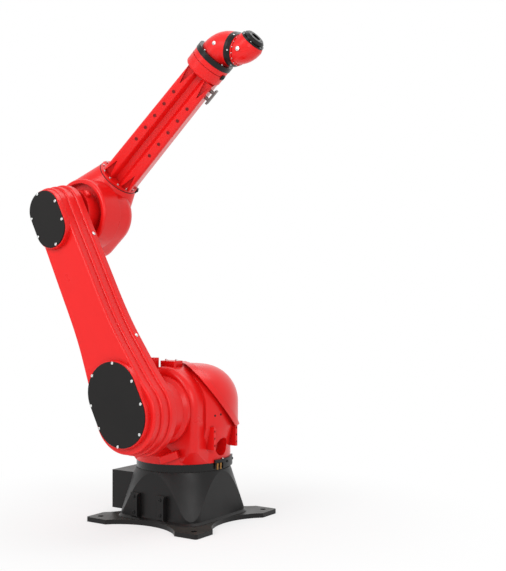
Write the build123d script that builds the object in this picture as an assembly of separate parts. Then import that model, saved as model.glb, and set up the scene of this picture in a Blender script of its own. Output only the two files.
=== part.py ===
from build123d import *
import math
import os

# Six-axis spray-painting robot arm, in millimetres and degrees.
# Z is up, X is forward, the floor is z = 0 and the turning axis is the Z axis.

# Joint layout
SHOULDER_X = 32
SHOULDER_Z = 493
ARM_LENGTH = 958
ARM_LEAN = 27
FOREARM_RISE = 41.4
FOREARM_LIFT = 102
FOREARM_Y = -30
WRIST_START = 875
WRIST_BEND = 58
ROLL_TO_BEND = 69
BEND_TO_BEND = 116

# Clearance between two faces that turn on each other
RUN = 0.3

# Floor flange and base casting
FLOOR_SIDE = 600
FLOOR_THICK = 20
EAR_LENGTH = 112
EAR_STEP = 24
WAIST_DEPTH = 80
EAR_CORNER = 12
BOLT_PITCH = 510
BOLT_HOLE_R = 13
BASE_TOP_Z = 231
BASE_FOOT_R = 284
BASE_TOP_R = 209
FACET_HALF = 211
FACET_CORNER = 64
SKIRT_OUT = 11
SKIRT_HEIGHT = 11

# Connector box at the rear of the base
BOX_REAR_X = -320
BOX_HALF_Y = 108
BOX_LOW_Z = 26
BOX_HIGH_Z = 196
BOX_LID = 5
INLET_PITCH = 78
INLET_Z = 128
INLET_WIDTH = 62
INLET_HEIGHT = 44
INLET_WALL = 6
INLET_OUT = 22
GLAND_R = 13
GLAND_Z = 62
GLAND_OUT = 24

# Side brackets on the base facets
BRACKET_X = 72
BRACKET_LOW_Z = 32
BRACKET_HEIGHT = 102
BRACKET_FOOT = 46
BRACKET_OUT = 26
BRACKET_THICK = 6
BRACKET_HOLE_R = 5
BRACKET_HOLE_PITCH = 66

# Turning bearing and turret
BEARING_IN = 4
BEARING_HEIGHT = 34
DRUM_IN = 20
DRUM_HEIGHT = 60
DRUM_TAPER = 90
DOME_R = 229
DOME_TOP_Z = 664
DOME_ROUND = 150
HOOD_WALL = 14
HOOD_RIM = 7
HOOD_RIM_WIDTH = 26
HOOD_POINT = (31, -29, 676)
HOOD_NORMAL = (-0.52, -0.585, -0.62)
CHEEK_X = 20
CHEEK_R = 175
CHEEK_Y = -178
CHEEK_INNER_Y = 24
CHEEK_LIP = 30
CHEEK_RISE = 12
CHEEK_FOOT = 120
FOOT_SPREAD = 110
CORE_Y = -105
RIM_LOW = 32
RIM_HIGH = 84
RIM_IN = 34
PORT_R = 39
PORT_Z = 330
PORT_DEPTH = 70
HOSE_BRACKET_OUT = 3
HOSE_BRACKET_Y = 80
HOSE_BRACKET_THICK = 14
HOSE_BRACKET_LOW_Z = 325
HOSE_BRACKET_HEIGHT = 98
HOSE_HOLE_R = 4.5
HOSE_HOLE_PITCH = 30
STOP_THICK = 9
STOP_DROP = 27
STOP_RISE = 12
FITTING_BASE = 14
STOP_SWEEP = 40
FITTING_SWEEP = 13
FITTING_R = 4.6
FITTING_LENGTH = 18
FITTING_NUT_R = 6.5
FITTING_NUT = 9
TOP_PAD_LENGTH = 84
TOP_PAD_WIDTH = 62
TOP_PAD_Y = -98
TOP_PAD_RISE = 22
CROWN_LUG = 34
CROWN_LUG_X = -65
CROWN_LUG_RISE = 36
STOP_LUG_LENGTH = 82
STOP_LUG_DEPTH = 58
STOP_LUG_HEIGHT = 34
STOP_LUG_TURN = 23
STOP_LUG_RISE = 35

# Shoulder neck and upper arm
ARM_INNER_Y = -290
NECK_R = 146
NECK_WAIST_R = 132
NECK_RING = 16
NECK_TAPER = 14
ARM_REAR_Y = -315
ARM_BACK_Y = -350
ARM_STEP_Y = -392
ARM_PANEL_Y = -430
ARM_BOSS_Y = -452
HUB_R = 160
HEAD_R = 90
HEAD_ABOVE = 10
STEP_OUT = 9
BACK_OUT = 19
HUB_SIDE_ANGLE = 15
WAIST_HIGH = (95, 348)
WAIST_MID = (105, 350)
WAIST_LOW = (122, 225)
BOSS_MARGIN = 4
BOSS_DRAFT = 8
SHOULDER_COVER_R = 129.5
SHOULDER_COVER_RUN = 100
ELBOW_COVER_R = 84
ELBOW_COVER_RUN = 88
COVER_THICK = 6

# Elbow housing and forearm
ELBOW_NECK_R = 106
ELBOW_HUB_R = 156
ELBOW_HUB_Y = -212
ELBOW_RECESS_R = 136
ELBOW_RECESS = 26
BELLY_R = 137
BELLY_TOP_X = -55
BELLY_TOP_Z = 216
BELLY_TOP_R = 115
BELLY_REAR_X = -98
BELLY_REAR_Z = -48
BELLY_REAR_R = 88
BELLY_Y = -70
BELLY_HALF_Y = 98
BELLY_ROUND = 60
NOSE_X = 14
HOUSING_FRONT_X = 152
HOUSING_FRONT_R = 100
REAR_LID = 12
REAR_LID_R = 70
ROOT_FLANGE_R = 99
ROOT_FLANGE_THICK = 12
TUBE_ROOT_HALF = 77.5
TUBE_END_HALF = 68.5
TUBE_HALF_DEPTH = 66
TUBE_ROUND = 14
TUBE_DROP = 11
TUBE_ROLL = 27
GROOVE_WIDTH = 57
GROOVE_FLOOR = 25
GROOVE_DEPTH = 26
GROOVE_ROUND = 5
POCKET_LENGTH = 84
POCKET_WIDTH = 36
POCKET_DEPTH = 14
HOSE_PLATE_X = 706
HOSE_PLATE_LENGTH = 76
HOSE_PLATE_OUT = 25
HOSE_PLATE_THICK = 9
HOSE_PLATE_WIDTH = 34
HOSE_POST_R = 8
COLLAR_R = 87.5
COLLAR_LENGTH = 78
COLLAR_SEAM_AT = 52
COLLAR_SEAM = 3

# Wrist and tool flange
RING_1_R = 89.5
RING_1_WIDTH = 24
RING_2_R = 74
RING_2_END_R = 68
RING_2_WIDTH = 28
RING_2_AT = 59
ELBOW_1_R = 73
ELBOW_2_R = 61
ELBOW_2_REACH = 40
ELBOW_2_RIM_R = 66
ELBOW_2_RIM = 6
TOOL_START = 54
TOOL_NECK_R = 56
TOOL_RING_R = 55
TOOL_RING_WIDTH = 7
TOOL_R = 48
TOOL_END_R = 39
TOOL_WIDTH = 18
TOOL_LIP = 5
TOOL_STEP = 3
TOOL_BORE_R = 21
TOOL_PCD = 60
TOOL_HOLE_R = 3.4
TOOL_HOLE_DEPTH = 13

# Side of the blocks that trim larger solids
TRIM = 900

# Radii that follow from the turret's
DRUM_R = DOME_R - DRUM_IN
BEARING_R = DRUM_R - BEARING_IN

# Frames that follow the chain of joints
ARM = Pos(SHOULDER_X, 0, SHOULDER_Z) * Rot(0, -ARM_LEAN, 0)
ELBOW = ARM * Pos(0, FOREARM_Y, ARM_LENGTH) * Rot(0, ARM_LEAN - FOREARM_RISE, 0)
ROLL = ELBOW * Pos(WRIST_START, 0, FOREARM_LIFT)
BEND = ROLL * Pos(ROLL_TO_BEND, 0, 0) * Rot(0, WRIST_BEND, 0)
TIP = BEND * Pos(BEND_TO_BEND, 0, 0) * Rot(0, -WRIST_BEND, 0)


def across(x, z=0):
    """Plane square to the local X axis, its own axes along Y and Z."""
    return Plane(origin=(x, 0, z), x_dir=(0, 1, 0), z_dir=(1, 0, 0))


def disc(radius, x0, x1, z=0):
    """Round bar along the local X axis from x0 to x1."""
    return extrude(across(x0, z) * Circle(radius), x1 - x0)


def pin_y(radius, y0, y1):
    """Round bar along Y through the local origin from y0 to y1."""
    return extrude(Plane.XZ.offset(-y0) * Circle(radius), -(y1 - y0))


def upright(x, y, z0, z1, radius):
    """Round bar along Z."""
    return Pos(x, y, z0) * extrude(Circle(radius), z1 - z0)


def spun(points, z=0):
    """Solid of revolution about the local X axis lifted to z, from points given as (x, radius)."""
    face = make_face(Polyline(*[(x, z + r) for x, r in points], close=True))
    return revolve(Plane.XZ * face, Axis((0, 0, z), (1, 0, 0)))


# Floor flange with four bolted ears and hollowed sides
def floor_flange():
    half = FLOOR_SIDE / 2
    root = half - EAR_LENGTH - EAR_STEP
    side = [
        Line((half, half), (half - EAR_LENGTH, half)),
        Line((half - EAR_LENGTH, half), (root, half - EAR_STEP)),
        ThreePointArc((root, half - EAR_STEP), (0, half - WAIST_DEPTH), (-root, half - EAR_STEP)),
        Line((-root, half - EAR_STEP), (EAR_LENGTH - half, half)),
        Line((EAR_LENGTH - half, half), (-half, half)),
    ]
    outline = make_face([Rot(0, 0, 90 * k) * edge for k in range(4) for edge in side])
    plate = extrude(outline, FLOOR_THICK)
    uprights = plate.edges().filter_by(Axis.Z)
    corners = [e for e in uprights if min(abs(e.center().X), abs(e.center().Y)) > half - 1]
    plate = fillet(corners, EAR_CORNER)
    for spot in GridLocations(BOLT_PITCH, BOLT_PITCH, 2, 2):
        plate -= spot * extrude(Circle(BOLT_HOLE_R), FLOOR_THICK)
    return plate


# Conical base body whose sides are trimmed flat
def base_body():
    profile = make_face(
        Polyline((0, 0), (BASE_FOOT_R, 0), (BASE_TOP_R, BASE_TOP_Z), (0, BASE_TOP_Z), close=True)
    )
    cone = revolve(Plane.XZ * profile, Axis.Z)
    prism = extrude(RectangleRounded(2 * FACET_HALF, 2 * FACET_HALF, FACET_CORNER), BASE_TOP_Z)
    return cone & prism


# Skirt that spreads the foot of the body over the flange
def base_skirt():
    side = 2 * (FACET_HALF + SKIRT_OUT)
    foot = RectangleRounded(side, side, FACET_CORNER + SKIRT_OUT)
    skirt = Pos(0, 0, FLOOR_THICK) * extrude(foot, SKIRT_HEIGHT)
    return chamfer(skirt.edges().group_by(Axis.Z)[-1], SKIRT_HEIGHT * 0.8, SKIRT_OUT * 0.95)


def base_casting():
    return floor_flange() + base_body() + base_skirt()


# Box for the cable connectors, fitted to the rear of the base
def connector_box():
    length = -BOX_REAR_X
    height = BOX_HIGH_Z - BOX_LOW_Z
    block = Pos(BOX_REAR_X / 2, 0, BOX_LOW_Z + height / 2) * Box(length, 2 * BOX_HALF_Y, height)
    return block - base_casting()


def connector_lid():
    height = BOX_HIGH_Z - BOX_LOW_Z
    plate = Box(BOX_LID, 2 * BOX_HALF_Y - 16, height - 16)
    plate = fillet(plate.edges().filter_by(Axis.X), 10)
    return Pos(BOX_REAR_X - BOX_LID / 2, 0, BOX_LOW_Z + height / 2) * plate


# Two plug sockets and two cable glands on the lid
def plug_socket():
    shell = extrude(across(0) * RectangleRounded(INLET_WIDTH, INLET_HEIGHT, INLET_WALL + 2), -INLET_OUT)
    mouth = RectangleRounded(INLET_WIDTH - 2 * INLET_WALL, INLET_HEIGHT - 2 * INLET_WALL, INLET_WALL - 1)
    return shell - extrude(across(-INLET_OUT) * mouth, INLET_OUT - INLET_WALL)


def cable_gland():
    nut = extrude(across(0) * RegularPolygon(GLAND_R, 6), -GLAND_OUT / 2)
    return nut + disc(GLAND_R * 0.75, -GLAND_OUT, 0)


def connector_inlets():
    inlets = []
    for side in (-1, 1):
        spot = Pos(BOX_REAR_X - BOX_LID, side * INLET_PITCH / 2, 0)
        inlets += [spot * Pos(0, 0, INLET_Z) * plug_socket(), spot * Pos(0, 0, GLAND_Z) * cable_gland()]
    return inlets


# Angle brackets for the hoses, two on each side of the base
def side_bracket(x):
    foot = Pos(-BRACKET_FOOT / 2, -BRACKET_THICK / 2, 0) * Box(BRACKET_FOOT, BRACKET_THICK, BRACKET_HEIGHT)
    leg = Pos(BRACKET_THICK / 2, -BRACKET_OUT / 2, 0) * Box(BRACKET_THICK, BRACKET_OUT, BRACKET_HEIGHT)
    leg = fillet(leg.edges().filter_by(Axis.X).group_by(Axis.Y)[0], BRACKET_OUT * 0.45)
    for end in (-1, 1):
        hole = extrude(Plane.XZ * Circle(BRACKET_HOLE_R), BRACKET_THICK)
        foot -= Pos(-BRACKET_FOOT * 0.62, 0, end * BRACKET_HOLE_PITCH / 2) * hole
    return Pos(x, -FACET_HALF, BRACKET_LOW_Z + BRACKET_HEIGHT / 2) * (foot + leg)


def side_brackets():
    return [side_bracket(-BRACKET_X), side_bracket(BRACKET_X)]


# Ring under the turret in which the turning bearing sits
def turn_bearing():
    return upright(0, 0, BASE_TOP_Z, BASE_TOP_Z + BEARING_HEIGHT, BEARING_R)


TURRET_Z = BASE_TOP_Z + BEARING_HEIGHT + RUN
HOOD_PLANE = Plane(origin=HOOD_POINT, z_dir=HOOD_NORMAL)


# Round dome over the turning axis, at a distance outside the casting
def dome(skin):
    radius = DOME_R + skin
    top = DOME_TOP_Z + skin
    rounding = DOME_ROUND + skin
    waist = TURRET_Z + DRUM_HEIGHT
    line = Polyline((0, TURRET_Z), (DRUM_R, TURRET_Z), (DRUM_R, waist), (radius, waist + DRUM_TAPER),
                    (radius, top), (0, top), close=True)
    face = make_face(line)
    corner = [v for v in face.vertices() if v.X > radius - 1 and v.Y > top - 1]
    face = fillet(corner, rounding)
    return Rot(0, 0, 170) * revolve(Plane.XZ * face, Axis.Z)


# Cheek that carries the shoulder: an arch with its foot drawn in to the drum
def cheek():
    centre_z = DOME_TOP_Z + CHEEK_RISE - CHEEK_R
    arch = make_hull(
        (Pos(CHEEK_X, centre_z) * Circle(CHEEK_R)).edges()
        + (Pos(CHEEK_X, TURRET_Z + CHEEK_FOOT / 2) * Rectangle(2 * CHEEK_R, CHEEK_FOOT)).edges()
    )
    slab = extrude(Plane.XZ.offset(-CHEEK_INNER_Y) * arch, CHEEK_INNER_Y - CHEEK_Y)
    slab = fillet(slab.edges().group_by(Axis.Y)[0], CHEEK_LIP)
    wide = DRUM_R + FOOT_SPREAD
    keep = make_face(
        Polyline((0, TURRET_Z), (DRUM_R, TURRET_Z), (wide, TURRET_Z + DRUM_HEIGHT + DRUM_TAPER),
                 (wide, DOME_TOP_Z + CHEEK_R), (0, DOME_TOP_Z + CHEEK_R), close=True)
    )
    return slab & (Rot(0, 0, 170) * revolve(Plane.XZ * keep, Axis.Z))


def turret_body():
    near = Pos(0, CORE_Y - TRIM / 2, TRIM / 2) * Box(TRIM, TRIM, TRIM)
    rim = make_face(
        Polyline((0, TURRET_Z), (DRUM_R, TURRET_Z), (DRUM_R, TURRET_Z + RIM_LOW),
                 (DRUM_R - RIM_IN, TURRET_Z + RIM_HIGH), (0, TURRET_Z + RIM_HIGH), close=True)
    )
    drum = Rot(0, 0, 160) * revolve(Plane.XZ * rim, Axis.Z)
    return (dome(0) - near) + cheek() + drum


def turret_casting():
    port = disc(PORT_R, DOME_R - PORT_DEPTH, DOME_R + HOOD_WALL, PORT_Z)
    return turret_body() - port


# Slanted cap over the front and left of the turret, with a raised rim along its edge
def turret_hood():
    inner = Plane(origin=HOOD_PLANE.origin - HOOD_PLANE.z_dir * HOOD_RIM_WIDTH, z_dir=HOOD_PLANE.z_dir)
    cap = split(dome(HOOD_WALL), HOOD_PLANE, keep=Keep.BOTTOM)
    rim = split(split(dome(HOOD_WALL + HOOD_RIM), HOOD_PLANE, keep=Keep.BOTTOM), inner, keep=Keep.TOP)
    cap += rim
    cap -= Pos(0, 0, TURRET_Z + (DRUM_HEIGHT + DRUM_TAPER) / 2) * Cylinder(TRIM, DRUM_HEIGHT + DRUM_TAPER)
    near = Pos(0, CORE_Y - TRIM / 2, TRIM / 2) * Box(TRIM, TRIM, TRIM)
    return cap - near - turret_body()


# Two drilled brackets for the hose, beside the cable port
def hose_brackets():
    pair = []
    behind = turret_body() + turret_hood()
    middle_z = HOSE_BRACKET_LOW_Z + HOSE_BRACKET_HEIGHT / 2
    for side in (-1, 1):
        spot = Pos(DOME_R + HOSE_BRACKET_OUT, side * HOSE_BRACKET_Y, middle_z)
        block = spot * Pos(-DOME_R / 4, 0, 0) * Box(DOME_R / 2, HOSE_BRACKET_THICK, HOSE_BRACKET_HEIGHT)
        block -= behind
        for k in (-1, 0, 1):
            block -= spot * Pos(0, 0, HOSE_HOLE_PITCH * k) * extrude(Plane.YZ * Circle(HOSE_HOLE_R), -12)
        pair.append(block)
    return pair


# Curved stop hung in front of the bearing ring, with its two air fittings
def ring_block(r0, r1, z0, z1, start, sweep):
    profile = Plane.XZ * Pos((r0 + r1) / 2, (z0 + z1) / 2) * Rectangle(r1 - r0, z1 - z0)
    return Rot(0, 0, start) * revolve(profile, Axis.Z, sweep)


def turn_stop():
    outer = DRUM_R + STOP_THICK
    high = TURRET_Z + STOP_RISE
    block = ring_block(DRUM_R, outer, TURRET_Z - STOP_DROP, high, 0, STOP_SWEEP)
    return block + ring_block(DRUM_R, outer, high - FITTING_BASE, high, -FITTING_SWEEP, FITTING_SWEEP + 1)


def air_fittings():
    pair = []
    top = TURRET_Z + STOP_RISE - FITTING_BASE
    for share in (0.32, 0.72):
        spot = Rot(0, 0, -FITTING_SWEEP * share) * Pos(DRUM_R + STOP_THICK * 0.7, 0, 0)
        nut = extrude(Plane.XY.offset(top - FITTING_NUT) * RegularPolygon(FITTING_NUT_R, 6), FITTING_NUT)
        barrel = upright(0, 0, top - FITTING_NUT - FITTING_LENGTH, top - FITTING_NUT, FITTING_R)
        pair.append(spot * (nut + barrel))
    return pair


# Neck between the turret cheek and the upper arm, ringed where it is bolted on
def shoulder_neck():
    x0 = 0
    x1 = CHEEK_Y - ARM_INNER_Y - RUN
    neck = spun([(x0, 0), (x0, NECK_R), (NECK_RING, NECK_R), (NECK_RING + NECK_TAPER, NECK_WAIST_R),
                 (x1, NECK_WAIST_R), (x1, 0)])
    return Pos(SHOULDER_X, CHEEK_Y, SHOULDER_Z) * Rot(0, 0, -90) * neck


# Lug on the crown of the cheek, and the stop lug low on its front
def shoulder_lugs():
    crown = DOME_TOP_Z + CHEEK_RISE
    top = Pos(CHEEK_X + CROWN_LUG_X, CHEEK_Y + CROWN_LUG * 0.75, crown + CROWN_LUG_RISE - CROWN_LUG * 1.2)
    top *= Box(CROWN_LUG, CROWN_LUG, CROWN_LUG * 2.4)
    low = Rot(0, 0, STOP_LUG_TURN) * Pos(0, -DRUM_R - 4, TURRET_Z + STOP_LUG_RISE) * Rot(0, -20, 0)
    low *= Box(STOP_LUG_LENGTH, STOP_LUG_DEPTH, STOP_LUG_HEIGHT)
    body = turret_body()
    return [top - body, fillet(low.edges(), 5) - body]


def top_pad():
    crown = DOME_TOP_Z + CHEEK_RISE
    height = TOP_PAD_RISE * 3
    pad = Pos(CHEEK_X - 8, TOP_PAD_Y, crown + TOP_PAD_RISE - height / 2)
    pad *= Box(TOP_PAD_LENGTH, TOP_PAD_WIDTH, height)
    return fillet(pad.edges().filter_by(Axis.Z), 10) - turret_body()


# Waisted outline of the upper arm: a large shoulder end, drawn-in flanks and a round head
def arm_outline(grow):
    low = Vector(HUB_R + grow, 0).rotate(Axis.Z, HUB_SIDE_ANGLE)
    along = Vector(0, -1).rotate(Axis.Z, HUB_SIDE_ANGLE)
    head = HEAD_R + grow
    head_z = ARM_LENGTH + HEAD_ABOVE
    high = (WAIST_HIGH[0] + grow, ARM_LENGTH - WAIST_HIGH[1])
    waist = [(x + grow, z) for x, z in (WAIST_MID, WAIST_LOW)]
    flank = Spline((head, head_z), high, *waist, (low.X, low.Y), tangents=[(0, -1), (along.X, along.Y)])
    crown = ThreePointArc((head, head_z), (0, head_z + head), (-head, head_z))
    foot = ThreePointArc((low.X, low.Y), (0, -HUB_R - grow), (-low.X, low.Y))
    return make_face([flank, mirror(flank, Plane.YZ), crown, foot])


def arm_layer(grow, y0, y1, rounding):
    layer = extrude(Plane.XZ.offset(-y0) * arm_outline(grow), y0 - y1)
    return fillet(layer.edges().group_by(Axis.Y)[0], rounding)


# Drafted boss that carries a cover, and the round-ended cover on it
def cover_boss(radius, run, centre):
    height = ARM_PANEL_Y - ARM_BOSS_Y
    spread = height * math.tan(math.radians(BOSS_DRAFT))
    outline = SlotCenterToCenter(run, 2 * (radius + BOSS_MARGIN + spread), rotation=90)
    boss = extrude(Plane.XZ.offset(-ARM_PANEL_Y) * outline, height, taper=BOSS_DRAFT)
    return Pos(0, 0, centre + run / 2) * fillet(boss.edges().group_by(Axis.Y)[0], 3)


# Stepped upper arm casting with a drafted boss under each cover
def upper_arm_casting():
    body = arm_layer(BACK_OUT, ARM_REAR_Y, ARM_BACK_Y, 9)
    body += pin_y(NECK_R, ARM_REAR_Y, ARM_INNER_Y)
    body += Pos(0, 0, ARM_LENGTH) * pin_y(HEAD_R, ARM_REAR_Y, ARM_INNER_Y)
    body += arm_layer(STEP_OUT, ARM_BACK_Y, ARM_STEP_Y, 8)
    body += arm_layer(0, ARM_STEP_Y, ARM_PANEL_Y, 8)
    body += cover_boss(SHOULDER_COVER_R, SHOULDER_COVER_RUN, 0)
    body += cover_boss(ELBOW_COVER_R, ELBOW_COVER_RUN, ARM_LENGTH - ELBOW_COVER_RUN)
    return ARM * body


def cover(radius, run, centre):
    outline = SlotCenterToCenter(run, 2 * radius, rotation=90)
    plate = extrude(Plane.XZ.offset(-ARM_BOSS_Y) * outline, COVER_THICK)
    return ARM * Pos(0, 0, centre + run / 2) * fillet(plate.edges().group_by(Axis.Y)[0], 2)


def shoulder_cover():
    return cover(SHOULDER_COVER_R, SHOULDER_COVER_RUN, 0)


def elbow_cover():
    return cover(ELBOW_COVER_R, ELBOW_COVER_RUN, ARM_LENGTH - ELBOW_COVER_RUN)


# Elbow housing: a rounded belly beside the arm, drawn out into the round forearm seat
def belly():
    rounds = [(0, 0, BELLY_R), (BELLY_TOP_X, BELLY_TOP_Z - BELLY_TOP_R, BELLY_TOP_R),
              (BELLY_REAR_X, BELLY_REAR_Z, BELLY_REAR_R)]
    edges = [e for x, z, r in rounds for e in (Pos(x, z) * Circle(r)).edges()]
    body = extrude(Plane.XZ.offset(-BELLY_Y - BELLY_HALF_Y) * make_hull(edges), 2 * BELLY_HALF_Y)
    return fillet(body.edges().group_by(Axis.Y)[0] + body.edges().group_by(Axis.Y)[-1], BELLY_ROUND)


def nose():
    low = -BELLY_R + 6
    high = BELLY_TOP_Z - 2
    seat = across(HOUSING_FRONT_X, FOREARM_LIFT) * RectangleRounded(
        2 * HOUSING_FRONT_R, 2 * HOUSING_FRONT_R, HOUSING_FRONT_R - 0.5
    )
    wide = across(NOSE_X, (low + high) / 2) * Pos(BELLY_Y, 0) * RectangleRounded(
        2 * BELLY_HALF_Y - 4, high - low, BELLY_HALF_Y - 8
    )
    return loft([wide, seat], ruled=True)


def elbow_housing():
    hub = pin_y(ELBOW_HUB_R, ELBOW_HUB_Y, BELLY_Y - BELLY_HALF_Y + BELLY_ROUND)
    hub = fillet(hub.edges().group_by(Axis.Y)[0], 12)
    hub -= pin_y(ELBOW_RECESS_R, ELBOW_HUB_Y, ELBOW_HUB_Y + ELBOW_RECESS)
    neck = pin_y(ELBOW_NECK_R, ARM_INNER_Y - FOREARM_Y + RUN, BELLY_Y)
    return ELBOW * (belly() + nose() + hub + neck)


def elbow_rear_lid():
    rear = BELLY_TOP_X - BELLY_TOP_R
    plate = disc(REAR_LID_R, rear - REAR_LID, rear + BELLY_TOP_R / 2, BELLY_TOP_Z - BELLY_TOP_R)
    plate = fillet(plate.edges().group_by(Axis.X)[0], 4)
    return ELBOW * (Pos(0, BELLY_Y, 0) * plate - belly())


# Flange that bolts the forearm to the elbow housing
def forearm_root():
    return ELBOW * disc(ROOT_FLANGE_R, HOUSING_FRONT_X, HOUSING_FRONT_X + ROOT_FLANGE_THICK, FOREARM_LIFT)


TUBE = ELBOW * Pos(0, 0, FOREARM_LIFT - TUBE_DROP) * Rot(TUBE_ROLL, 0, 0)
TUBE_X0 = HOUSING_FRONT_X + ROOT_FLANGE_THICK
TUBE_X1 = WRIST_START - COLLAR_LENGTH


# Cross-section of the forearm: two rails with a slope-sided groove between them on either face
def tube_outline(half_width):
    outline = RectangleRounded(2 * TUBE_HALF_DEPTH, 2 * half_width, TUBE_ROUND)
    mouth = GROOVE_WIDTH / 2
    floor = GROOVE_FLOOR / 2
    for side in (-1, 1):
        face = side * TUBE_HALF_DEPTH
        bed = side * (TUBE_HALF_DEPTH - GROOVE_DEPTH)
        groove = Polyline((face, -mouth), (bed, -floor), (bed, floor), (face, mouth), close=True)
        outline -= make_face(groove)
    return fillet([v for v in outline.vertices() if abs(v.Y) < mouth + 1], GROOVE_ROUND)


# Tapered forearm casting, its rails pocketed to a point where they meet the flange and the collar
def forearm_tube():
    ends = [(TUBE_X0, TUBE_ROOT_HALF, 1), (TUBE_X1, TUBE_END_HALF, -1)]
    bar = loft([across(x) * tube_outline(half_width) for x, half_width, way in ends], ruled=True)
    half = POCKET_WIDTH / 2
    for x, half_width, way in ends:
        rail = (half_width + GROOVE_WIDTH / 2) / 2
        for z in (-rail, rail):
            mouth = Polyline((x, z - half), (x + way * POCKET_LENGTH, z), (x, z + half), close=True)
            pocket = extrude(Plane.XZ.offset(TUBE_HALF_DEPTH) * make_face(mouth), -POCKET_DEPTH)
            bar -= pocket + mirror(pocket, Plane.XZ)
    return TUBE * bar


# Hose plate that stands on two posts under the forearm
def forearm_hose_plate():
    outer = TUBE_END_HALF + HOSE_PLATE_OUT
    plate = extrude(RectangleRounded(HOSE_PLATE_LENGTH, HOSE_PLATE_WIDTH, 6), HOSE_PLATE_THICK)
    for end in (-1, 1):
        plate += upright(end * HOSE_PLATE_LENGTH / 4, 0, 0, outer, HOSE_POST_R)
    return TUBE * Pos(HOSE_PLATE_X + HOSE_PLATE_LENGTH / 2, 0, -outer) * plate - forearm_tube()


def wrist_collar():
    collar = disc(COLLAR_R, TUBE_X1, WRIST_START, FOREARM_LIFT)
    collar = fillet(collar.edges().group_by(Axis.X)[0], 12)
    seam = TUBE_X1 + COLLAR_SEAM_AT
    collar -= disc(COLLAR_R + 1, seam, seam + COLLAR_SEAM, FOREARM_LIFT) - disc(
        COLLAR_R - COLLAR_SEAM, seam, seam + COLLAR_SEAM, FOREARM_LIFT
    )
    return ELBOW * collar


# Wrist: two bent pieces between black rings, then the tool flange
def wrist_ring_1():
    return ROLL * disc(RING_1_R, RUN, RING_1_WIDTH)


def bent_bar(radius, reach, turn):
    """Round bar from the local origin, bent down (turn 1) or up (turn -1); reach is its tangent length."""
    spine = reach / math.tan(math.radians(WRIST_BEND / 2))
    axis = Axis((0, 0, -turn * spine), (0, turn, 0))
    return revolve(across(0) * Circle(radius), axis, WRIST_BEND)


def wrist_elbow_1():
    reach = ROLL_TO_BEND - RING_1_WIDTH
    bend = ROLL * Pos(RING_1_WIDTH, 0, 0) * bent_bar(ELBOW_1_R, reach, 1)
    return bend + BEND * disc(ELBOW_1_R, reach, RING_2_AT)


def wrist_ring_2():
    x0 = RING_2_AT + RUN
    x1 = RING_2_AT + RING_2_WIDTH
    middle = (x0 + x1) / 2
    return BEND * spun([(x0, 0), (x0, RING_2_R), (middle, RING_2_R), (x1, RING_2_END_R), (x1, 0)])


def wrist_elbow_2():
    start = RING_2_AT + RING_2_WIDTH
    reach = ELBOW_2_REACH
    bend = BEND * Pos(BEND_TO_BEND - reach, 0, 0) * bent_bar(ELBOW_2_R, reach, -1)
    neck = TIP * spun([(reach, 0), (reach, ELBOW_2_R), (TOOL_START, TOOL_NECK_R), (TOOL_START, 0)])
    rim = BEND * disc(ELBOW_2_RIM_R, start, start + ELBOW_2_RIM)
    return bend + neck - BEND * disc(2 * ELBOW_2_R, 0, start) + rim


def tool_ring():
    return TIP * disc(TOOL_RING_R, TOOL_START + RUN, TOOL_START + TOOL_RING_WIDTH)


# Stepped tool flange with a waist, a bevelled end, a bore and six tapped holes
def tool_flange():
    x0 = TOOL_START + TOOL_RING_WIDTH
    x1 = x0 + TOOL_WIDTH
    waist = TOOL_R - TOOL_STEP
    shoulder = x1 - (TOOL_R - TOOL_END_R)
    lip = x0 + TOOL_LIP
    body = spun([(x0, TOOL_BORE_R), (x0, waist), (lip, waist), (lip, TOOL_R), (shoulder, TOOL_R),
                 (x1, TOOL_END_R), (x1, TOOL_BORE_R)])
    for k in range(6):
        spot = Rot(60 * k, 0, 0) * Pos(0, TOOL_PCD / 2, 0)
        body -= spot * disc(TOOL_HOLE_R, x1 - TOOL_HOLE_DEPTH, x1)
    return TIP * body


def save(shape, name):
    solids = shape if isinstance(shape, list) else [shape]
    export_step(Compound(children=[s for part in solids for s in part.solids()]), f"parts/{name}.step")


def main():
    os.makedirs("parts", exist_ok=True)
    right = side_brackets()
    save(base_casting(), "base_casting")
    save(connector_box(), "connector_box")
    save(connector_lid(), "connector_lid")
    save(connector_inlets(), "connector_inlets")
    save(right, "side_brackets_right")
    save([mirror(piece, Plane.XZ) for piece in right], "side_brackets_left")
    save(turn_bearing(), "turn_bearing")
    save(turret_casting(), "turret_casting")
    save(turret_hood(), "turret_hood")
    save(hose_brackets(), "hose_brackets")
    save(turn_stop(), "turn_stop")
    save(air_fittings(), "air_fittings")
    save(shoulder_neck(), "shoulder_neck")
    save(shoulder_lugs(), "shoulder_lugs")
    save(top_pad(), "top_pad")
    save(upper_arm_casting(), "upper_arm_casting")
    save(shoulder_cover(), "shoulder_cover")
    save(elbow_cover(), "elbow_cover")
    save(elbow_housing(), "elbow_housing")
    save(elbow_rear_lid(), "elbow_rear_lid")
    save(forearm_root(), "forearm_root")
    save(forearm_tube(), "forearm_tube")
    save(forearm_hose_plate(), "forearm_hose_plate")
    save(wrist_collar(), "wrist_collar")
    save(wrist_ring_1(), "wrist_ring_1")
    save(wrist_elbow_1(), "wrist_elbow_1")
    save(wrist_ring_2(), "wrist_ring_2")
    save(wrist_elbow_2(), "wrist_elbow_2")
    save(tool_ring(), "tool_ring")
    save(tool_flange(), "tool_flange")


if __name__ == "__main__":
    main()
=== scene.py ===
import bmesh
import bpy
import math
from mathutils import Matrix, Vector


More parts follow.
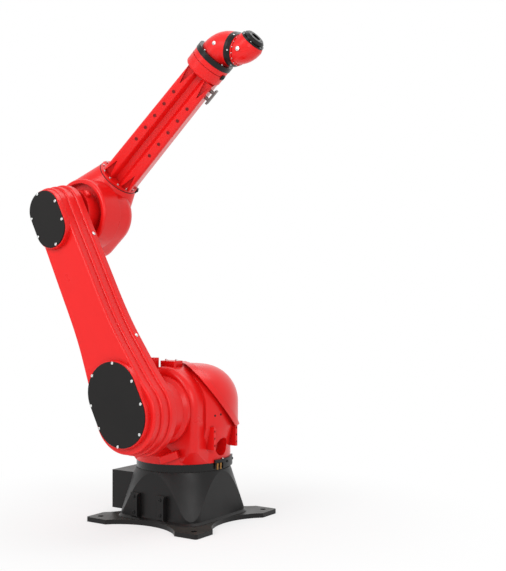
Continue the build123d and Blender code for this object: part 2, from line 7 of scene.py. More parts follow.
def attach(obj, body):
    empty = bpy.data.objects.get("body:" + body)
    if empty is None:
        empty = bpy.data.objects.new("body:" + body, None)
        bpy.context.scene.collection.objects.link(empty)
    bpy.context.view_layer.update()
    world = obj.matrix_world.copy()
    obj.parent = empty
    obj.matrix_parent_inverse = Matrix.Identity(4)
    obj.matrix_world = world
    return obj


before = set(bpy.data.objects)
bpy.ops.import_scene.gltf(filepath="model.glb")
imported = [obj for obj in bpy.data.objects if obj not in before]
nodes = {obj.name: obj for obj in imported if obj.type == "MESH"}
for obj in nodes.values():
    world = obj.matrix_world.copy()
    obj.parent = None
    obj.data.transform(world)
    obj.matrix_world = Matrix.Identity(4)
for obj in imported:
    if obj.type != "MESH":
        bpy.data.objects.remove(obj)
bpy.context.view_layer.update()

# Base casting, connector box and side brackets
# The pedestal is an iron casting, machined on top and on its four ears; the box and brackets are folded steel.
# All are sprayed with a semi-matt black enamel, which keeps a fine grain; its upward faces are painted a paler grey
# in patches, a painted highlight for the light they catch.
BLACK_ENAMEL = ("#131212", "#1b1a1a")
BLACK_ENAMEL_ROUGHNESS = (0.34, 0.46)
TOP_FACE_PAINTED_HIGHLIGHT = "#9a948c"
TOP_HIGHLIGHT_SHARE = 0.2
TOP_HIGHLIGHT_SLOPE = (0.75, 1.0)
CAST_GRAIN = 0.003  # drawn coarser than the real 1 mm so that it shows
CAST_GRAIN_DEPTH = 0.0005
BLACK_CLOUD = 0.09
BLACK_EDGE = 0.0015  # casting radius and paint
CLOUD_SPAN = (0.3, 0.7)
ENAMEL_IOR = 1.5


def linear(colour):
    parts = [int(colour[i:i + 2], 16) / 255 for i in (1, 3, 5)]
    return [c / 12.92 if c <= 0.04045 else ((c + 0.055) / 1.055) ** 2.4 for c in parts] + [1.0]


def add(tree, kind, settings=(), inputs=()):
    node = tree.nodes.new(kind)
    for key, value in dict(settings).items():
        setattr(node, key, value)
    for key, value in dict(inputs).items():
        if isinstance(value, bpy.types.NodeSocket):
            tree.links.new(value, node.inputs[key])
        else:
            node.inputs[key].default_value = value
    return node


def start_finish(name):
    material = bpy.data.materials.new(name)
    material.use_nodes = True
    material.node_tree.nodes.clear()
    tree = material.node_tree
    place = add(tree, "ShaderNodeTexCoord").outputs["Object"]
    return material, tree, place


def patches(tree, place, size, detail):
    """Share from 0 to 1 that drifts in patches of the given size, in metres."""
    noise = add(tree, "ShaderNodeTexNoise", {}, {"Vector": place, "Scale": 1 / size, "Detail": detail})
    return noise.outputs["Fac"]


def blend(tree, share, first, second):
    mix = add(tree, "ShaderNodeMix", {"data_type": "RGBA"}, {"Factor": share, "A": first, "B": second})
    return mix.outputs["Result"]


def two_tone(tree, share, colours):
    return blend(tree, share, linear(colours[0]), linear(colours[1]))


def ranged(tree, value, reach, span=(0.0, 1.0)):
    """The value's span spread over a reach."""
    spread = add(tree, "ShaderNodeMapRange", {}, {"Value": value, "From Min": span[0], "From Max": span[1],
                                                  "To Min": reach[0], "To Max": reach[1]})
    return spread.outputs["Result"]


def worked_out(tree, operation, first, second):
    return add(tree, "ShaderNodeMath", {"operation": operation}, {0: first, 1: second}).outputs["Value"]


def soft_edge(tree, radius):
    return add(tree, "ShaderNodeBevel", {"samples": 4}, {"Radius": radius}).outputs["Normal"]


def end_finish(tree, inputs):
    skin = add(tree, "ShaderNodeBsdfPrincipled", {}, inputs)
    add(tree, "ShaderNodeOutputMaterial", {}, {"Surface": skin.outputs["BSDF"]})


def black_enamel_on_iron():
    material, tree, place = start_finish("semi_matt_black_enamel")
    grain = patches(tree, place, CAST_GRAIN, 3.0)
    cloud = patches(tree, place, BLACK_CLOUD, 4.0)
    tone = two_tone(tree, cloud, BLACK_ENAMEL)
    facing = add(tree, "ShaderNodeNewGeometry").outputs["Normal"]
    # painted highlight: upward faces turn a paler grey in patches, standing in for the light they catch
    up = add(tree, "ShaderNodeSeparateXYZ", {}, {"Vector": facing}).outputs["Z"]
    flat = ranged(tree, up, (0.0, TOP_HIGHLIGHT_SHARE), TOP_HIGHLIGHT_SLOPE)
    top_highlight = worked_out(tree, "MULTIPLY", flat, cloud)
    bump = add(tree, "ShaderNodeBump", {}, {"Strength": 0.12, "Distance": CAST_GRAIN_DEPTH, "Height": grain,
                                            "Normal": soft_edge(tree, BLACK_EDGE)})
    end_finish(tree, {"Base Color": blend(tree, top_highlight, tone, linear(TOP_FACE_PAINTED_HIGHLIGHT)),
                      "Roughness": ranged(tree, cloud, BLACK_ENAMEL_ROUGHNESS, CLOUD_SPAN),
                      "IOR": ENAMEL_IOR, "Specular IOR Level": 0.26, "Normal": bump.outputs["Normal"]})
    return material


def paint(material, *names):
    for name in names:
        mesh = nodes[name].data
        mesh.materials.clear()
        mesh.materials.append(material)


black_enamel = black_enamel_on_iron()
paint(black_enamel, "base_casting", "connector_box", "connector_lid", "side_brackets_right",
      "side_brackets_left", "turn_stop")

# Bracket screws
# Steel socket screws, blackened in a hot oxide bath and oiled, hold the angle brackets to the base.
# Each head is turned with a broken edge and a sunk socket, and its shank is under the face it sits on.
BLACK_OXIDE = ("#0b0a0a", "#131111")
BLACK_OXIDE_ROUGHNESS = (0.2, 0.36)
BLACK_OXIDE_CLOUD = 0.03
BLACK_OXIDE_EDGE = 0.0008
HEAD_SUNK = 0.0006
SHARP_FROM = 38
BRACKET_X = 0.072
BRACKET_SCREW_BACK = 0.0285
BRACKET_FACE_Y = 0.217
BRACKET_SCREW_Z = (0.05, 0.116)
BRACKET_SCREW_R = 0.0075
BRACKET_SCREW_HEAD = 0.0035


def black_oxide_steel():
    material, tree, place = start_finish("black_oxide_steel")
    cloud = patches(tree, place, BLACK_OXIDE_CLOUD, 3.0)
    end_finish(tree, {"Base Color": two_tone(tree, cloud, BLACK_OXIDE),
                      "Roughness": ranged(tree, cloud, BLACK_OXIDE_ROUGHNESS),
                      "IOR": 1.6, "Specular IOR Level": 0.22, "Normal": soft_edge(tree, BLACK_OXIDE_EDGE)})
    return material


def turned(bm, place, outline, steps=20):
    """Outline of radii and heights, turned about the place's own Z axis."""
    axis = place.to_3x3() @ Vector((0, 0, 1))
    rim = [bm.verts.new(place @ Vector((r, 0, z))) for r, z in outline]
    lines = [bm.edges.new(pair) for pair in zip(rim, rim[1:])]
    bmesh.ops.spin(bm, geom=rim + lines, cent=place.translation, axis=axis, angle=2 * math.pi,
                   steps=steps, use_merge=True)


def socket_screw(bm, place, radius, height):
    turned(bm, place, [(0, height * 0.35), (radius * 0.46, height * 0.4), (radius * 0.5, height),
                       (radius * 0.84, height), (radius, height * 0.82), (radius, -HEAD_SUNK),
                       (0, -HEAD_SUNK)])


def settle(bm, name, material, body):
    bmesh.ops.remove_doubles(bm, verts=bm.verts, dist=1e-6)
    bmesh.ops.recalc_face_normals(bm, faces=bm.faces)
    mesh = bpy.data.meshes.new(name)
    bm.to_mesh(mesh)
    bm.free()
    mesh.shade_smooth()
    mesh.set_sharp_from_angle(angle=math.radians(SHARP_FROM))
    mesh.materials.append(material)
    piece = bpy.data.objects.new(name, mesh)
    bpy.context.scene.collection.objects.link(piece)
    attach(piece, body)


def facing_along(point, axis):
    """Seat at a point, with its own Z along the axis."""
    return Matrix.Translation(point) @ Vector(axis).to_track_quat("Z", "Y").to_matrix().to_4x4()


black_oxide = black_oxide_steel()
bm = bmesh.new()
for side in (-1, 1):
    for x in (-BRACKET_X, BRACKET_X):
        for z in BRACKET_SCREW_Z:
            seat = facing_along((x - BRACKET_SCREW_BACK, side * BRACKET_FACE_Y, z), (0, side, 0))
            socket_screw(bm, seat, BRACKET_SCREW_R, BRACKET_SCREW_HEAD)
settle(bm, "side_bracket_screws", black_oxide, "base")

# Connector lid screws
# Small steel socket screws with a bright zinc plate hold the lid on the connector box.
# The plate is thin and even, so it mirrors softly and clouds a little where it was handled.
ZINC = ("#cfd1d2", "#e6e6e4")
ZINC_ROUGHNESS = (0.2, 0.38)
ZINC_CLOUD = 0.006
LID_FACE_X = -0.325
LID_SCREW_Y = (-0.09, 0, 0.09)
LID_SCREW_Z = (0.043, 0.179)
LID_SCREW_R = 0.005
LID_SCREW_HEAD = 0.004


def bare_metal(name, colours, roughness, cloud_size):
    material, tree, place = start_finish(name)
    cloud = patches(tree, place, cloud_size, 2.0)
    end_finish(tree, {"Base Color": two_tone(tree, cloud, colours), "Metallic": 1.0,
                      "Roughness": ranged(tree, cloud, roughness)})
    return material


zinc = bare_metal("bright_zinc_plate", ZINC, ZINC_ROUGHNESS, ZINC_CLOUD)
bm = bmesh.new()
for y in LID_SCREW_Y:
    for z in LID_SCREW_Z:
        socket_screw(bm, facing_along((LID_FACE_X, y, z), (-1, 0, 0)), LID_SCREW_R, LID_SCREW_HEAD)
settle(bm, "connector_lid_screws", zinc, "base")

# Plug sockets and cable glands
# Die-cast hoods with a moulded insert and brass pins, and gland nuts, screwed through the lid from inside.
# They have a matt black powder coat, dry to the eye and finely grained.
POWDER_COAT = ("#100f0f", "#171514")
POWDER_GRAIN = 0.003  # drawn coarser than the real half millimetre so that it shows
POWDER_GRAIN_DEPTH = 0.0004
POWDER_CLOUD = 0.12
BRASS = ("#7d5830", "#a67c48")
BRASS_ROUGHNESS = (0.24, 0.4)
BRASS_CLOUD = 0.004
SOCKET_Y = 0.039
SOCKET_Z = 0.128
INSERT_X = -0.3355
INSERT_SIZE = (0.01, 0.042, 0.024)
INSERT_ROUNDING = 0.0015
PIN_FOOT_X = -0.3405
PIN_PITCH = 0.007
PIN_ROW = 0.0055
PIN_OUTLINE = [(0, 0.0042), (0.0008, 0.004), (0.0014, 0.003), (0.0014, -HEAD_SUNK), (0, -HEAD_SUNK)]
PIN_STEPS = 10


def matt_black_powder_coat():
    material, tree, place = start_finish("matt_black_powder_coat")
    grain = patches(tree, place, POWDER_GRAIN, 2.0)
    cloud = patches(tree, place, POWDER_CLOUD, 3.0)
    bump = add(tree, "ShaderNodeBump", {}, {"Strength": 0.15, "Distance": POWDER_GRAIN_DEPTH, "Height": grain})
    end_finish(tree, {"Base Color": two_tone(tree, cloud, POWDER_COAT), "Roughness": 0.6, "IOR": 1.45,
                      "Specular IOR Level": 0.3, "Normal": bump.outputs["Normal"]})
    return material


def block(bm, place, size, rounding):
    made = bmesh.ops.create_cube(bm, size=1, matrix=place @ Matrix.Diagonal((*size, 1)))
    edges = {edge for corner in made["verts"] for edge in corner.link_edges}
    bmesh.ops.bevel(bm, geom=list(edges), offset=rounding, segments=2, profile=0.5, affect="EDGES", material=-1)


powder_coat = matt_black_powder_coat()
brass = bare_metal("plain_brass", BRASS, BRASS_ROUGHNESS, BRASS_CLOUD)
paint(powder_coat, "connector_inlets")
inserts = bmesh.new()
pins = bmesh.new()
for y in (-SOCKET_Y, SOCKET_Y):
    block(inserts, Matrix.Translation((INSERT_X, y, SOCKET_Z)), INSERT_SIZE, INSERT_ROUNDING)
    for row in (-PIN_ROW, PIN_ROW):
        for k in range(-2, 3):
            foot = (PIN_FOOT_X, y + PIN_PITCH * k, SOCKET_Z + row)
            turned(pins, facing_along(foot, (-1, 0, 0)), PIN_OUTLINE, PIN_STEPS)
settle(inserts, "connector_inserts", powder_coat, "base")
settle(pins, "connector_pins", brass, "base")

# Turning bearing, stop and air fittings
# A black-oxide steel ring carries the turret; the curved stop hangs before it with two push-in air fittings.
# The fittings are turned from brass bar with a hexagon, and the stop is held by socket screws.
STOP_FACE_R = 0.218
STOP_SCREW_Z = 0.2625
STOP_SCREW_TURNS = (9, 31)
STOP_SCREW_R = 0.0055
STOP_SCREW_HEAD = 0.0035
FITTING_SCREW_AT = (0.2133, 0.003, 0.2773)
FITTING_SCREW_R = 0.004
FITTING_SCREW_HEAD = 0.004

paint(black_oxide, "turn_bearing")
paint(brass, "air_fittings")
bm = bmesh.new()
for degrees in STOP_SCREW_TURNS:
    out = Vector((math.cos(math.radians(degrees)), math.sin(math.radians(degrees)), 0))
    seat = facing_along(out * STOP_FACE_R + Vector((0, 0, STOP_SCREW_Z)), out)
    socket_screw(bm, seat, STOP_SCREW_R, STOP_SCREW_HEAD)
settle(bm, "turn_stop_screws", black_oxide, "turret")
bm = bmesh.new()
socket_screw(bm, facing_along(FITTING_SCREW_AT, (0, 0, 1)), FITTING_SCREW_R, FITTING_SCREW_HEAD)
settle(bm, "air_fitting_screw", zinc, "turret")

# Turret, arm and wrist castings
# The turret is an iron casting that holds the turning gear and carries the shoulder on its right cheek.
# It and the castings above it are filled and sprayed with a semi-gloss red enamel; its corners and recesses are
# darkened as painted shade.
RED_ENAMEL = ("#e81212", "#f21a19")
RED_ENAMEL_ROUGHNESS = (0.26, 0.36)
RED_PAINTED_CORNER_SHADE = "#8f0606"
PAINTED_SHADE_REACH = 0.05
PAINTED_SHADE_SPAN = (0.3, 0.92)
PAINTED_SHADE_SHARE = 0.5
ORANGE_PEEL = 0.005  # drawn coarser than the real 2 mm so that it shows
ORANGE_PEEL_DEPTH = 0.0004
RED_CLOUD = 0.16
RED_EDGE = 0.002  # casting radius and paint


def red_enamel_on_iron():
    material, tree, place = start_finish("semi_gloss_red_enamel")
    peel = patches(tree, place, ORANGE_PEEL, 2.0)
    cloud = patches(tree, place, RED_CLOUD, 3.0)
    tone = two_tone(tree, cloud, RED_ENAMEL)
    # painted shade: the red darkens towards deep red wherever ambient occlusion finds nearby surfaces
    corner = add(tree, "ShaderNodeAmbientOcclusion", {"samples": 8}, {"Distance": PAINTED_SHADE_REACH})
    painted_corner_shade = ranged(tree, corner.outputs["AO"], (PAINTED_SHADE_SHARE, 0.0), PAINTED_SHADE_SPAN)
    bump = add(tree, "ShaderNodeBump", {}, {"Strength": 0.05, "Distance": ORANGE_PEEL_DEPTH, "Height": peel,
                                            "Normal": soft_edge(tree, RED_EDGE)})
    end_finish(tree, {"Base Color": blend(tree, painted_corner_shade, tone, linear(RED_PAINTED_CORNER_SHADE)),
                      "Roughness": ranged(tree, cloud, RED_ENAMEL_ROUGHNESS, CLOUD_SPAN),
                      "IOR": ENAMEL_IOR, "Specular IOR Level": 0.36, "Normal": bump.outputs["Normal"]})
    return material


red_enamel = red_enamel_on_iron()
paint(red_enamel, "turret_casting", "turret_hood", "hose_brackets", "shoulder_neck", "shoulder_lugs",
      "top_pad", "upper_arm_casting", "elbow_housing", "elbow_rear_lid", "forearm_root", "forearm_tube",
      "wrist_collar", "wrist_elbow_1", "wrist_elbow_2")

# Turret screws
# Two zinc-plated screws hold the pad on the crown, and two blackened grub screws close tapped holes over the port.
# The grub screws are sunk almost flush with the red skin.
PAD_TOP_Z = 0.698
PAD_Y = -0.098
PAD_SCREW_X = (-0.016, 0.04)
PAD_SCREW_R = 0.007
PAD_SCREW_HEAD = 0.007
TURRET_R = 0.229
GRUB_SCREWS_YZ = ((-0.0626, 0.469), (-0.0305, 0.472))
GRUB_SCREW_R = 0.0045
GRUB_SCREW_HEAD = 0.0012

bm = bmesh.new()
for x in PAD_SCREW_X:
    socket_screw(bm, facing_along((x, PAD_Y, PAD_TOP_Z), (0, 0, 1)), PAD_SCREW_R, PAD_SCREW_HEAD)
settle(bm, "top_pad_screws", zinc, "turret")
bm = bmesh.new()
for y, z in GRUB_SCREWS_YZ:
    out = Vector((math.sqrt(TURRET_R ** 2 - y ** 2), y, 0))
    socket_screw(bm, facing_along(out + Vector((0, 0, z)), out), GRUB_SCREW_R, GRUB_SCREW_HEAD)
settle(bm, "turret_grub_screws", black_oxide, "turret")

# Upper arm covers
# Two round-ended steel plates close the gear chambers at the shoulder and at the elbow.
# They are powder coated in a matt black and held by small zinc-plated screws round the edge.
SHOULDER_AT = (0.032, 0, 0.493)
ARM_LEAN = 27
ARM_LENGTH = 0.958
COVER_FACE_Y = -0.458
COVER_SCREW_R = 0.006
COVER_SCREW_HEAD = 0.0025
SHOULDER_SCREWS_XZ = ((0.062, 0.208), (0.123, 0.1), (0.124, 0), (0.064, -0.106))
ELBOW_SCREWS_XZ = ((0, 0.0785), (0.0785, 0), (0.0785, -0.088), (0, -0.1665), (-0.0785, -0.088), (-0.0785, 0))

paint(powder_coat, "shoulder_cover", "elbow_cover")
arm = Matrix.Translation(SHOULDER_AT) @ Matrix.Rotation(math.radians(-ARM_LEAN), 4, "Y")
bm = bmesh.new()
for x, z in SHOULDER_SCREWS_XZ:
    for side in (-1, 1):
        seat = arm @ facing_along((side * x, COVER_FACE_Y, z), (0, -1, 0))
        socket_screw(bm, seat, COVER_SCREW_R, COVER_SCREW_HEAD)
for x, z in ELBOW_SCREWS_XZ:
    seat = arm @ facing_along((x, COVER_FACE_Y, ARM_LENGTH + z), (0, -1, 0))
    socket_screw(bm, seat, COVER_SCREW_R, COVER_SCREW_HEAD)
settle(bm, "cover_screws", zinc, "upper_arm")

# Oil plugs of the upper arm
# Zinc-plated plugs close the oil passages in the front flank of the casting.
# Each is a domed head with a collar, screwed in over a soft washer.
PLUG_SUNK = 0.001
OIL_PLUG_R = 0.0085
HIGH_PLUG_AT = (0.1115, -0.333, 0.79)
HIGH_PLUG_AXIS = (1, 0, 0)
LOW_PLUG_AT = (0.13, -0.333, 0.297)
LOW_PLUG_AXIS = (1, 0, 0.136)


def dome_plug(bm, place, radius):
    turned(bm, place, [(0, radius * 0.62), (radius * 0.4, radius * 0.58), (radius * 0.7, radius * 0.42),
                       (radius * 0.82, radius * 0.22), (radius, radius * 0.2), (radius, -PLUG_SUNK),
                       (0, -PLUG_SUNK)])


bm = bmesh.new()
dome_plug(bm, arm @ facing_along(HIGH_PLUG_AT, HIGH_PLUG_AXIS), OIL_PLUG_R)
dome_plug(bm, arm @ facing_along(LOW_PLUG_AT, LOW_PLUG_AXIS), OIL_PLUG_R)
settle(bm, "upper_arm_plugs", zinc, "upper_arm")

# Elbow stop and rear lid screws
# A red block cast on the elbow neck stops the forearm, and a lid at the rear closes the motor space.
# The lid is held by zinc-plated socket screws on one circle.
FOREARM_Y = -0.03
FOREARM_TURN = 14.4
ELBOW_STOP_TURN = 6
ELBOW_STOP_AT = (0.108, -0.238, 0)
ELBOW_STOP_SIZE = (0.026, 0.026, 0.03)
ELBOW_STOP_ROUNDING = 0.004
REAR_LID_AT = (-0.182, -0.07, 0.101)
REAR_LID_SCREW_CIRCLE = 0.06
REAR_LID_SCREWS = 8
REAR_LID_SCREW_R = 0.005
REAR_LID_SCREW_HEAD = 0.004

elbow = (arm @ Matrix.Translation((0, FOREARM_Y, ARM_LENGTH))
         @ Matrix.Rotation(math.radians(-FOREARM_TURN), 4, "Y"))
bm = bmesh.new()
stop_place = Matrix.Rotation(math.radians(-ELBOW_STOP_TURN), 4, "Y") @ Matrix.Translation(ELBOW_STOP_AT)
block(bm, elbow @ stop_place, ELBOW_STOP_SIZE, ELBOW_STOP_ROUNDING)
settle(bm, "elbow_stop", red_enamel, "forearm")
bm = bmesh.new()
for k in range(REAR_LID_SCREWS):
    angle = 2 * math.pi * (k + 0.5) / REAR_LID_SCREWS
    spot = Vector((0, math.cos(angle), math.sin(angle))) * REAR_LID_SCREW_CIRCLE + Vector(REAR_LID_AT)
    socket_screw(bm, elbow @ facing_along(spot, (-1, 0, 0)), REAR_LID_SCREW_R, REAR_LID_SCREW_HEAD)
settle(bm, "rear_lid_screws", zinc, "forearm")

# Forearm flange
# The forearm is bolted to the elbow housing by twelve zinc-plated screws round its foot.
# A bead of black sealant closes the seam between the flange and the housing; it is also drawn to stand in for the
# shade in that seam, partly painted shade.
SEALANT_AND_SEAM_SHADE = "#141313"
SEALANT_ROUGHNESS = (0.45, 0.65)
SEALANT_RIPPLE = 0.005
SEALANT_RIPPLE_DEPTH = 0.0006
FOREARM_LIFT = 0.102
FLANGE_X = 0.152
FLANGE_FACE_X = 0.164
FLANGE_SCREW_CIRCLE = 0.0895
FLANGE_SCREWS = 12
FLANGE_SCREW_START = 136
FLANGE_SCREW_R = 0.005
FLANGE_SCREW_HEAD = 0.005
BEAD_OUTLINE = [(0.0985, -0.002), (0.1005, -0.0016), (0.1012, 0), (0.1005, 0.0016), (0.0985, 0.002),
                (0.0985, -0.002)]
BEAD_STEPS = 64


def black_sealant_and_painted_seam_shade():
    material, tree, place = start_finish("black_sealant_and_painted_seam_shade")
    ripple = patches(tree, place, SEALANT_RIPPLE, 2.0)
    bump = add(tree, "ShaderNodeBump", {}, {"Strength": 0.2, "Distance": SEALANT_RIPPLE_DEPTH, "Height": ripple})
    end_finish(tree, {"Base Color": linear(SEALANT_AND_SEAM_SHADE), "Roughness": ranged(tree, ripple, SEALANT_ROUGHNESS),
                      "IOR": 1.4, "Normal": bump.outputs["Normal"]})
    return material


def on_circle(x, z, radius, degrees):
    """Point on a circle square to X, whose centre is at x and z."""
    angle = math.radians(degrees)
    return x, radius * math.cos(angle), z + radius * math.sin(angle)


bm = bmesh.new()
for k in range(FLANGE_SCREWS):
    degrees = FLANGE_SCREW_START + 360 / FLANGE_SCREWS * k
    spot = on_circle(FLANGE_FACE_X, FOREARM_LIFT, FLANGE_SCREW_CIRCLE, degrees)
    socket_screw(bm, elbow @ facing_along(spot, (1, 0, 0)), FLANGE_SCREW_R, FLANGE_SCREW_HEAD)
settle(bm, "forearm_flange_screws", zinc, "forearm")
bm = bmesh.new()
# partly painted shade: the black bead stands for the sealant and for the shade in the seam
turned(bm, elbow @ facing_along((FLANGE_X, 0, FOREARM_LIFT), (1, 0, 0)), BEAD_OUTLINE, BEAD_STEPS)
settle(bm, "forearm_flange_sealant_and_seam_shade", black_sealant_and_painted_seam_shade(), "forearm")

# Forearm rail screws
# Five screws stand in each rail of the forearm casting, on both faces, sunk almost flush and sprayed over with it.
# They close the tapped holes that hoses and spray gear are clamped to; their red is painted dark to stand in for
# the shade of a sunk hole, and their sockets are darkened further as painted shade.
HOLE_SHADE_RED = ("#6a0b0c", "#9a1415")
HOLE_SHADE_RED_ROUGHNESS = (0.35, 0.55)
HOLE_SHADE_RED_CLOUD = 0.004
SOCKET_PAINTED_SHADE = "#2a0606"
SOCKET_SHADE_REACH = 0.004
TUBE_LIFT = 0.091
TUBE_TURN = 27
RAIL_FACE_Y = 0.066
RAILS_Z_AND_START = ((0.046, 0.387), (-0.0465, 0.369))
RAIL_SCREWS = 5
RAIL_SCREW_PITCH = 0.0705
RAIL_SCREW_R = 0.0075
RAIL_SCREW_HEAD = 0.0016


def red_enamel_with_painted_hole_shade():
    material, tree, place = start_finish("red_enamel_with_painted_hole_shade")
    cloud = patches(tree, place, HOLE_SHADE_RED_CLOUD, 2.0)
    # painted shade: a dark red standing in for a sunk hole's shade, near black where ambient occlusion finds the
    # socket walls
    corner = add(tree, "ShaderNodeAmbientOcclusion", {"samples": 8}, {"Distance": SOCKET_SHADE_REACH})
    colour = blend(tree, corner.outputs["AO"], linear(SOCKET_PAINTED_SHADE), two_tone(tree, cloud, HOLE_SHADE_RED))
    end_finish(tree, {"Base Color": colour, "Roughness": ranged(tree, cloud, HOLE_SHADE_RED_ROUGHNESS),
                      "IOR": ENAMEL_IOR, "Specular IOR Level": 0.3})
    return material


tube = elbow @ Matrix.Translation((0, 0, TUBE_LIFT)) @ Matrix.Rotation(math.radians(TUBE_TURN), 4, "X")
bm = bmesh.new()
for side in (-1, 1):
    for z, start in RAILS_Z_AND_START:
        for k in range(RAIL_SCREWS):
            spot = (start + RAIL_SCREW_PITCH * k, side * RAIL_FACE_Y, z)
            socket_screw(bm, tube @ facing_along(spot, (0, side, 0)), RAIL_SCREW_R, RAIL_SCREW_HEAD)
settle(bm, "forearm_rail_screws", red_enamel_with_painted_hole_shade(), "forearm")

# Hose plate and hose clips
# A galvanised steel plate on two posts and two small clips carry the hose along the underside of the forearm.
# The zinc has dulled to a patchy grey; the clips are blackened, and each is held by one socket screw.
DULL_ZINC = ("#6d6866", "#8a8583")
DULL_ZINC_ROUGHNESS = (0.4, 0.6)
SPANGLE = 0.006
CLIP_SIZE = (0.022, 0.02, 0.008)
CLIP_ROUNDING = 0.0015
CLIP_SUNK = 0.001
CLIP_SCREW_R = 0.005
CLIP_SCREW_HEAD = 0.003
COLLAR_CLIP = (0.85, 0.0875, -82)
FLANGE_CLIP = (0.158, 0.099, -52)


def dull_galvanised_steel():
    material, tree, place = start_finish("dull_galvanised_steel")
    crystals = add(tree, "ShaderNodeTexVoronoi", {}, {"Vector": place, "Scale": 1 / SPANGLE}).outputs["Distance"]
    end_finish(tree, {"Base Color": two_tone(tree, crystals, DULL_ZINC), "Metallic": 0.8,
                      "Roughness": ranged(tree, crystals, DULL_ZINC_ROUGHNESS)})
    return material


paint(dull_galvanised_steel(), "forearm_hose_plate")
bm = bmesh.new()
for x, radius, degrees in (COLLAR_CLIP, FLANGE_CLIP):
    out = on_circle(0, 0, 1, degrees)
    seat = elbow @ facing_along(on_circle(x, FOREARM_LIFT, radius, degrees), out)
    block(bm, seat @ Matrix.Translation((0, 0, CLIP_SIZE[2] / 2 - CLIP_SUNK)), CLIP_SIZE, CLIP_ROUNDING)
    head_place = seat @ Matrix.Translation((0, 0, CLIP_SIZE[2] - CLIP_SUNK))
    socket_screw(bm, head_place, CLIP_SCREW_R, CLIP_SCREW_HEAD)
settle(bm, "hose_clips", black_oxide, "forearm")

# Wrist rings, plugs and tool flange
# The wrist is two bent red castings between black-oxide rings; each ring is held by zinc-plated screws.
# A domed plug closes the grease hole in the side of each casting.
WRIST_START = 0.875
ROLL_TO_BEND = 0.069
BEND_TO_BEND = 0.116
WRIST_BEND = 58
RING_1_FACE_X = 0.024
RING_1_CIRCLE = 0.0805
RING_1_SCREWS = 5
RING_1_START = 176
RING_1_SCREW_R = 0.004
RING_1_SCREW_HEAD = 0.004
PLUG_1_AT = (0.0734, 0.0727, -0.0022)
PLUG_1_R = 0.0085
RING_2_X = 0.0788
RING_2_CIRCLE = 0.0712
RING_2_SLOPE = (0.4, 0.92)  # along and out of the ring's cone
RING_2_SCREWS = 6
RING_2_START = 132
RING_2_SCREW_R = 0.0035
RING_2_SCREW_HEAD = 0.003
RIM_X = 0.093
RIM_CIRCLE = 0.0633
RIM_SCREWS = 16
RIM_START = 178.5
RIM_SCREW_R = 0.0026
RIM_SCREW_HEAD = 0.0024
PLUG_2_AT = (0.1222, 0.0608, 0)
PLUG_2_R = 0.0095
TOOL_RING_X = 0.061
TOOL_RING_CIRCLE = 0.0515
TOOL_RING_SCREWS = 6
TOOL_RING_START = 30
TOOL_RING_SCREW_R = 0.0026
TOOL_RING_SCREW_HEAD = 0.0022


def screw_circle(bm, place, x, circle, count, start, radius, head, slope=(1, 0)):
    for k in range(count):
        degrees = start + 360 / count * k
        axis = Vector(on_circle(0, 0, slope[1], degrees)) + Vector((slope[0], 0, 0))
        socket_screw(bm, place @ facing_along(on_circle(x, 0, circle, degrees), axis), radius, head)


def plug_pair(bm, place, spot, radius):
    x, y, z = spot
    for side in (-1, 1):
        dome_plug(bm, place @ facing_along((x, side * y, z), (0, side, 0)), radius)


paint(black_oxide, "wrist_ring_1", "wrist_ring_2", "tool_ring", "tool_flange")
roll = elbow @ Matrix.Translation((WRIST_START, 0, FOREARM_LIFT))
bend = roll @ Matrix.Translation((ROLL_TO_BEND, 0, 0)) @ Matrix.Rotation(math.radians(WRIST_BEND), 4, "Y")
tip = bend @ Matrix.Translation((BEND_TO_BEND, 0, 0)) @ Matrix.Rotation(math.radians(-WRIST_BEND), 4, "Y")
bm = bmesh.new()
screw_circle(bm, roll, RING_1_FACE_X, RING_1_CIRCLE, RING_1_SCREWS, RING_1_START, RING_1_SCREW_R, RING_1_SCREW_HEAD)
plug_pair(bm, roll, PLUG_1_AT, PLUG_1_R)
settle(bm, "wrist_ring_1_screws", zinc, "wrist_roll")
bm = bmesh.new()
screw_circle(bm, bend, RING_2_X, RING_2_CIRCLE, RING_2_SCREWS, RING_2_START, RING_2_SCREW_R, RING_2_SCREW_HEAD,
             RING_2_SLOPE)
screw_circle(bm, bend, RIM_X, RIM_CIRCLE, RIM_SCREWS, RIM_START, RIM_SCREW_R, RIM_SCREW_HEAD)
plug_pair(bm, bend, PLUG_2_AT, PLUG_2_R)
settle(bm, "wrist_ring_2_screws", zinc, "wrist_bend")
bm = bmesh.new()
screw_circle(bm, tip, TOOL_RING_X, TOOL_RING_CIRCLE, TOOL_RING_SCREWS, TOOL_RING_START, TOOL_RING_SCREW_R,
             TOOL_RING_SCREW_HEAD)
settle(bm, "tool_ring_screws", zinc, "tool")

# Studio floor
# A sweep of white cloth, laid flat under the base and lit so that it runs into the white backdrop.
# The shadow shows close to the base and runs out into plain white further off.
CLOTH = "#f7f7f7"
FLOOR_HALF = 14
FADE_FROM, FADE_TO = 0.3, 1.5
GLOW_NEAR, GLOW_FAR = 0.62, 1.0
WHITE = (1, 1, 1, 1)


def seen_directly(tree):
    """1 for rays that see a surface or mirror it, 0 for those that light others by it."""
    ray = add(tree, "ShaderNodeLightPath")
    seen = worked_out(tree, "MAXIMUM", ray.outputs["Is Camera Ray"], ray.outputs["Is Glossy Ray"])
    return worked_out(tree, "MAXIMUM", seen, ray.outputs["Is Transmission Ray"])


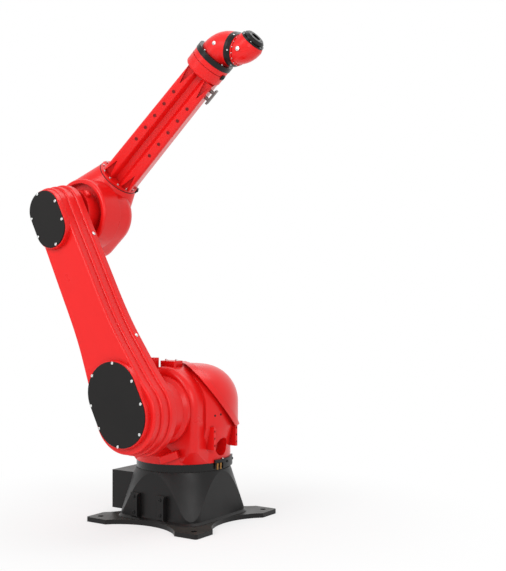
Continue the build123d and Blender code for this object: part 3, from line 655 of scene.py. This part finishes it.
def white_sweep():
    material, tree, place = start_finish("white_sweep")
    away = add(tree, "ShaderNodeVectorMath", {"operation": "LENGTH"}, {0: place}).outputs["Value"]
    fade = add(tree, "ShaderNodeMapRange", {"interpolation_type": "SMOOTHSTEP"},
               {"Value": away, "From Min": FADE_FROM, "From Max": FADE_TO, "To Min": GLOW_NEAR, "To Max": GLOW_FAR})
    share = worked_out(tree, "MULTIPLY", seen_directly(tree), fade.outputs["Result"])
    cloth = add(tree, "ShaderNodeBsdfDiffuse", {}, {"Color": linear(CLOTH)})
    glow = add(tree, "ShaderNodeEmission", {}, {"Color": WHITE, "Strength": 1.0})
    both = add(tree, "ShaderNodeMixShader", {}, {"Fac": share, 1: cloth.outputs["BSDF"],
                                                 2: glow.outputs["Emission"]})
    add(tree, "ShaderNodeOutputMaterial", {}, {"Surface": both.outputs["Shader"]})
    return material


bm = bmesh.new()
bmesh.ops.create_grid(bm, x_segments=1, y_segments=1, size=FLOOR_HALF)
mesh = bpy.data.meshes.new("floor")
bm.to_mesh(mesh)
bm.free()
mesh.materials.append(white_sweep())
floor = bpy.data.objects.new("floor", mesh)
bpy.context.scene.collection.objects.link(floor)

# Backdrop and lamps
# A plain white backdrop, seen at full white but lighting the arm at half of that.
# Three soft boxes of white cloth: a key from the upper left, a fill from the right and one overhead.
BACKDROP_LIGHT = 0.5
BACKDROP_SEEN = 1.0
AIM = (0, 0, 0.9)
KEY_AT, KEY_SIZE, KEY_POWER = (-0.8, -4.6, 3.6), 2.6, 106
FILL_AT, FILL_SIZE, FILL_POWER = (3.6, -2.6, 2.4), 1.4, 46
TOP_AT, TOP_SIZE, TOP_POWER = (0.6, 1.6, 5.4), 3.0, 70

world = bpy.data.worlds.new("studio")
bpy.context.scene.world = world
world.use_nodes = True
tree = world.node_tree
tree.nodes.clear()
level = ranged(tree, seen_directly(tree), (BACKDROP_LIGHT, BACKDROP_SEEN))
sky = add(tree, "ShaderNodeBackground", {}, {"Color": WHITE, "Strength": level})
add(tree, "ShaderNodeOutputWorld", {}, {"Surface": sky.outputs["Background"]})


def soft_box(name, place, size, power):
    lamp = bpy.data.lights.new(name, "AREA")
    lamp.size = size
    lamp.energy = power
    box = bpy.data.objects.new(name, lamp)
    box.location = place
    box.rotation_euler = (Vector(AIM) - Vector(place)).to_track_quat("-Z", "Y").to_euler()
    bpy.context.scene.collection.objects.link(box)


soft_box("key", KEY_AT, KEY_SIZE, KEY_POWER)
soft_box("fill", FILL_AT, FILL_SIZE, FILL_POWER)
soft_box("top", TOP_AT, TOP_SIZE, TOP_POWER)

# Camera
# It stands in front of the robot's right side, a little below half of its height, and looks almost level.
# Its distance, turn and lens were found by fitting the arm's joints and edges to their places in the picture.
CAMERA_TURN = 37.9
CAMERA_DISTANCE = 4.4344
CAMERA_HEIGHT = 0.9791
LOOK_ASIDE = 4.0
LOOK_UP = 0.6
SENSOR = 36
FOCAL_PIXELS = 996.7
PICTURE_PIXELS = 571

around = math.radians(CAMERA_TURN)
turn, rise = math.radians(CAMERA_TURN - LOOK_ASIDE), math.radians(LOOK_UP)
lens = bpy.data.cameras.new("camera")
lens.sensor_width = SENSOR
lens.lens = FOCAL_PIXELS / PICTURE_PIXELS * SENSOR
camera = bpy.data.objects.new("camera", lens)
camera.location = (CAMERA_DISTANCE * math.sin(around), -CAMERA_DISTANCE * math.cos(around), CAMERA_HEIGHT)
look = Vector((-math.sin(turn) * math.cos(rise), math.cos(turn) * math.cos(rise), math.sin(rise)))
camera.rotation_euler = look.to_track_quat("-Z", "Y").to_euler()
bpy.context.scene.collection.objects.link(camera)
bpy.context.scene.camera = camera
bpy.context.scene.view_settings.view_transform = "Standard"
